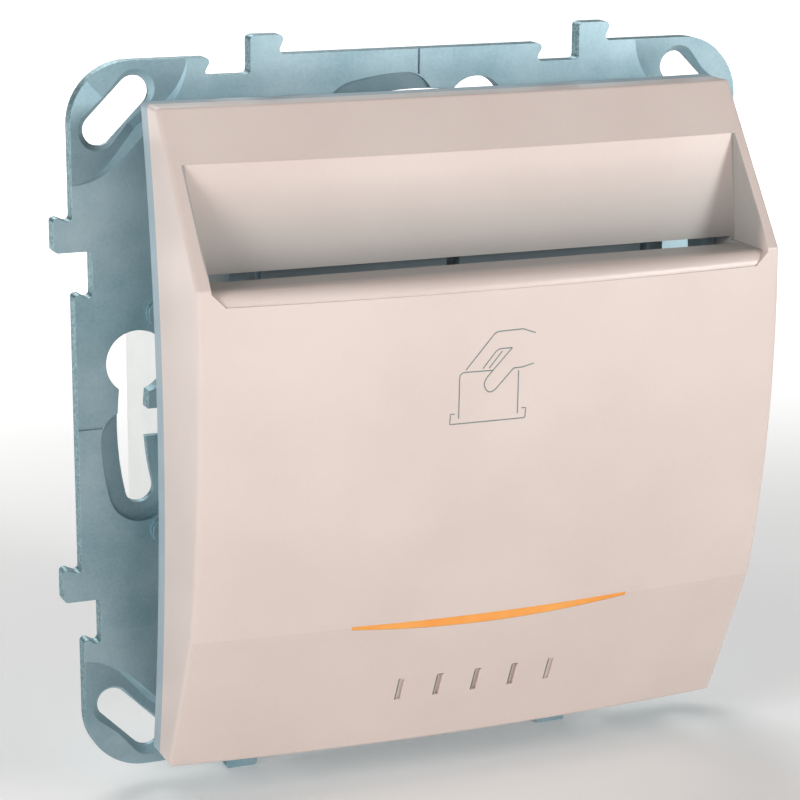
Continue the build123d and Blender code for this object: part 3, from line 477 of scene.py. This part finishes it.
# %% Wind the return spring
up = Vector((0, 0, 1))
coil = bmesh.new()
rings = []
for step in range(spring_turns * steps_per_turn + 1):
    turn = step / steps_per_turn
    outward = Vector((math.cos(turn * math.tau), math.sin(turn * math.tau), 0))
    risen = up * (spring_length - spring_wire) * turn / spring_turns
    middle = coil_start + outward * coil_radius + risen
    ring = []
    for side in range(wire_sides):
        angle = side * math.tau / wire_sides
        across = outward * math.cos(angle) + up * math.sin(angle)
        ring.append(coil.verts.new(middle + across * spring_wire / 2))
    rings.append(ring)
for ring, following in zip(rings, rings[1:]):
    for side in range(wire_sides):
        face = coil.faces.new((ring[side - 1], ring[side], following[side], following[side - 1]))
        face.smooth = True
coil.faces.new(rings[0])
coil.faces.new(reversed(rings[-1]))
bmesh.ops.recalc_face_normals(coil, faces=coil.faces)
print("rings of the wire:", len(rings))

# %% Put the return spring in its place
spring = bpy.data.objects.new("wound_spring", bpy.data.meshes.new("wound_spring"))
coil.to_mesh(spring.data)
coil.free()
bpy.context.scene.collection.objects.link(spring)
spring.data.materials.append(materials["spring_steel"])
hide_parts("return_spring")
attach(spring, "switch")
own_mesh(spring)
print("spring faces:", len(spring.data.polygons))

# %% [markdown]
# A thin grey-green sign on the cover shows a hand putting a card into a holder. On the
# real switch it is pad printed: ink a few thousandths of a millimetre thick. Here each
# stroke is a narrow ribbon of mesh that is laid on the dome by shooting a ray at the
# cover for each of its points. An image could carry the sign too, but a ribbon stays
# sharp at any size. The drawing is a list of strokes in millimetres across the cover, and
# a corner that has a third value is rounded by it, as a hand is round.

# %% Strokes of the sign
sign_shift = Vector((-0.75, 0.44))
strokes = {
    "hand_back": [(-3.47, 7.88), (-0.45, 11.33, 0.45), (2.33, 11.38, 0.05), (3.63, 10.9)],
    "thumb": [
        (-1.74, 7.88), (-0.25, 9.67, 0.45), (1.22, 9.67, 0.05), (-1.33, 6.99, 0.3),
        (-1.63, 6.41, 0.3), (-1.44, 5.86, 0.25), (-1.07, 5.53, 0.2), (-0.68, 5.61, 0.2),
        (-0.41, 5.79, 0.15), (1.4, 7.68, 0.15), (2.32, 7.7, 0.1), (3.5, 7.98),
    ],
    "card_front": [(-1.12, 7.87), (0.21, 9.43)],
    "holder_left": [(-4.09, 3.21), (-4.1, 7.68, 0.6), (-0.73, 7.64)],
    "holder_right": [(1.92, 7.41), (1.95, 3.19)],
    "holder_tray": [
        (-4.5, 3.68), (-4.93, 3.72), (-4.96, 2.71), (2.75, 2.69, 0.1), (2.8, 3.68), (2.35, 3.69),
    ],
}
print("strokes:", len(strokes))

# %% Rounding and spacing of a stroke
round_steps = 6
ribbon_step = 0.3


def rounded(stroke, shift):
    """Points of a stroke; a corner with a third value is a curve of about that radius."""
    points = [Vector(point[:2]) + shift for point in stroke]
    radii = [point[2] if len(point) > 2 else 0 for point in stroke]
    path = [points[0]]
    for before, corner, after, radius in zip(points, points[1:], points[2:], radii[1:]):
        if not radius:
            path.append(corner)
            continue
        reach = min(radius, (before - corner).length / 2, (after - corner).length / 2)
        start = corner + (before - corner).normalized() * reach
        end = corner + (after - corner).normalized() * reach
        for step in range(round_steps + 1):
            share = step / round_steps
            path.append(start.lerp(corner, share).lerp(corner.lerp(end, share), share))
    return path + [points[-1]]


def spaced(points, step):
    """Points of a stroke with more between them, so that none is further than a step."""
    path = [points[0]]
    for start, end in zip(points, points[1:]):
        count = max(1, math.ceil((end - start).length / step))
        path += [start.lerp(end, turn / count) for turn in range(1, count + 1)]
    return path


print("corners take", round_steps + 1, "points")

# %% Lay ribbons on the cover
ribbon_width = 0.12
ribbon_height = 0.005
into_wall = Vector((0, 1, 0))
front_start = low.y - 10 * mm
cover_surface = BVHTree.FromObject(frame["nodes"]["cover"], bpy.context.evaluated_depsgraph_get())


def on_cover(point, height):
    """Place on the cover's front at a point across it, raised by a height, in metres."""
    start = Vector((point.x * mm, front_start, point.y * mm))
    hit = cover_surface.ray_cast(start, into_wall)[0]
    return hit - into_wall * height * mm


def ribbon_stroke(mesh, points):
    """Add one ribbon along a stroke: two edges on the cover, closed round the ends."""
    rows = []
    for index, point in enumerate(points):
        along = points[min(index + 1, len(points) - 1)] - points[max(index - 1, 0)]
        across = Vector((-along.y, along.x)).normalized() * ribbon_width / 2
        corners = [
            (across, -ribbon_height), (across, ribbon_height), (-across, ribbon_height),
            (-across, -ribbon_height),
        ]
        rows.append([mesh.verts.new(on_cover(point + side, height)) for side, height in corners])
    for row, following in zip(rows, rows[1:]):
        for index in range(len(row)):
            mesh.faces.new((row[index], row[index - 1], following[index - 1], following[index]))
    mesh.faces.new(rows[0])
    mesh.faces.new(reversed(rows[-1]))


print("ink is", ribbon_width, "mm wide")

# %% Lay printed lines and painted shadow lines on the cover
def lay_lines_on_cover(name, drawing, shift, colours):
    """Make one piece from its strokes, colour it (ink, or painted shadow at the marks), let it
    ride along.
    """
    mesh = bmesh.new()
    for stroke in drawing:
        ribbon_stroke(mesh, spaced(rounded(stroke, shift), ribbon_step))
    bmesh.ops.recalc_face_normals(mesh, faces=mesh.faces)
    piece = bpy.data.objects.new(name, bpy.data.meshes.new(name))
    mesh.to_mesh(piece.data)
    mesh.free()
    bpy.context.scene.collection.objects.link(piece)
    material, shader, place = start_material(name + "_line_colour", Roughness=0.55, IOR=1.5)
    uneven(
        material, shader, place, colours, blotch_size=1.5 * mm, grain_size=0.15 * mm,
        grain_depth=0.001 * mm, grain_share=0.5, edge_radius=0,
    )
    piece.data.materials.append(material)
    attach(piece, "switch")
    print(name, "faces:", len(piece.data.polygons))


lay_lines_on_cover("printed_sign", strokes.values(), sign_shift, ("#6F7B79", "#838D8B"))

# %% [markdown]
# Each of the five small marks on the lower face is a shallow recess. A thin dark line
# along its left side and its upper end is a painted shadow, the shade of the recess's
# rims, and makes the mark show on the pale plastic. The line is laid on as the sign is.

# %% Painted shadow lines at the marks
mark_places = [-7.6, -3.55, 0.5, 4.55, 8.6]
mark_side = 0.32
mark_top = -24.17
mark_bottom = -26.75
no_shift = Vector((0, 0))
painted_shadows = []
for middle in mark_places:
    left, right = middle - mark_side, middle + mark_side
    painted_shadows.append([(left, mark_bottom), (left, mark_top), (right, mark_top)])
# Painted shadow: these dark lines stand for the shade along the left and upper rims of each
# recess.
lay_lines_on_cover("mark_painted_shadows", painted_shadows, no_shift, ("#4E5E5A", "#5F6E6A"))

# %% [markdown]
# A studio for small products is a pale table under large soft lamps. The table is a wide
# disc that the switch stands on. It works as a light table: near the switch it glows hardly
# at all, so that the lower faces stay shaded, and further out it glows until it turns white
# in the picture.

# %% Table
table_radius = 3.0
table_corners = 96
glow_start = 40 * mm
glow_full = 300 * mm
glow_least = 0.1
glow_strength = 0.8
table = bmesh.new()
bmesh.ops.create_circle(table, cap_ends=True, segments=table_corners, radius=table_radius)
floor = bpy.data.objects.new("table", bpy.data.meshes.new("table"))
table.to_mesh(floor.data)
table.free()
floor.location.z = low.z
bpy.context.scene.collection.objects.link(floor)
material, shader, place = start_material(
    "pale_paper", Roughness=0.85, Emission_Color=linear("#FFFFFF"),
)
uneven(
    material, shader, place, ("#F4F4F3", "#F7F7F6"), blotch_size=60 * mm, grain_size=0.8 * mm,
    grain_depth=0.01 * mm,
)
way_out = add_node(material, "ShaderNodeVectorMath", {first: place}, operation="LENGTH")
glow = add_node(material, "ShaderNodeMapRange", {
    "Value": way_out.outputs["Value"], "From Min": glow_start, "From Max": glow_full,
    "To Min": glow_least, "To Max": glow_strength,
}, interpolation_type="SMOOTHSTEP")
material.node_tree.links.new(glow.outputs["Result"], shader.inputs["Emission Strength"])
floor.data.materials.append(material)
print("table at", round(floor.location.z / mm, 2), "mm")

# %% [markdown]
# Three round lamps light the switch. The left one is the main light and gives the slanted
# panel of the pocket its brightness, the right one lights the front's right half and the
# brow below the slot, and the one behind draws a light rim along the top edges.

# %% Lamps
aim = Vector((0, -10, 0)) * mm
# Place, diameter in metres and power in watts
lamps = {
    "left": (Vector((-560, -300, 170)) * mm, 0.3, 2.12),
    "right": (Vector((395, -498, 160)) * mm, 0.2, 1.85),
    "back": (Vector((0, 520, 375)) * mm, 0.4, 1.9),
}
for name, (lamp_place, diameter, power) in lamps.items():
    lamp = bpy.data.objects.new(name, bpy.data.lights.new(name, "AREA"))
    lamp.data.shape = "DISK"
    lamp.data.size = diameter
    lamp.data.energy = power
    lamp.location = lamp_place
    lamp.rotation_mode = "QUATERNION"
    lamp.rotation_quaternion = (aim - lamp_place).to_track_quat("-Z", "Y")
    bpy.context.scene.collection.objects.link(lamp)
print("lamps:", ", ".join(lamps))

# %% [markdown]
# A weak white world fills the shadows from all sides. The Standard view keeps the colours
# as they were picked, where Blender's usual one would make the pale plastic greyer.

# %% World and tone
world_strength = 0.15
world = bpy.data.worlds.new("studio")
bpy.context.scene.world = world
world.use_nodes = True
backdrop = world.node_tree.nodes["Background"]
backdrop.inputs["Color"].default_value = linear("#FFFFFF")
backdrop.inputs["Strength"].default_value = world_strength
bpy.context.scene.view_settings.view_transform = "Standard"
print("world strength", world_strength)

# %% [markdown]
# The dressed model has to keep the size of the CAD model.

# %% End of the scene
print("scene dressed")
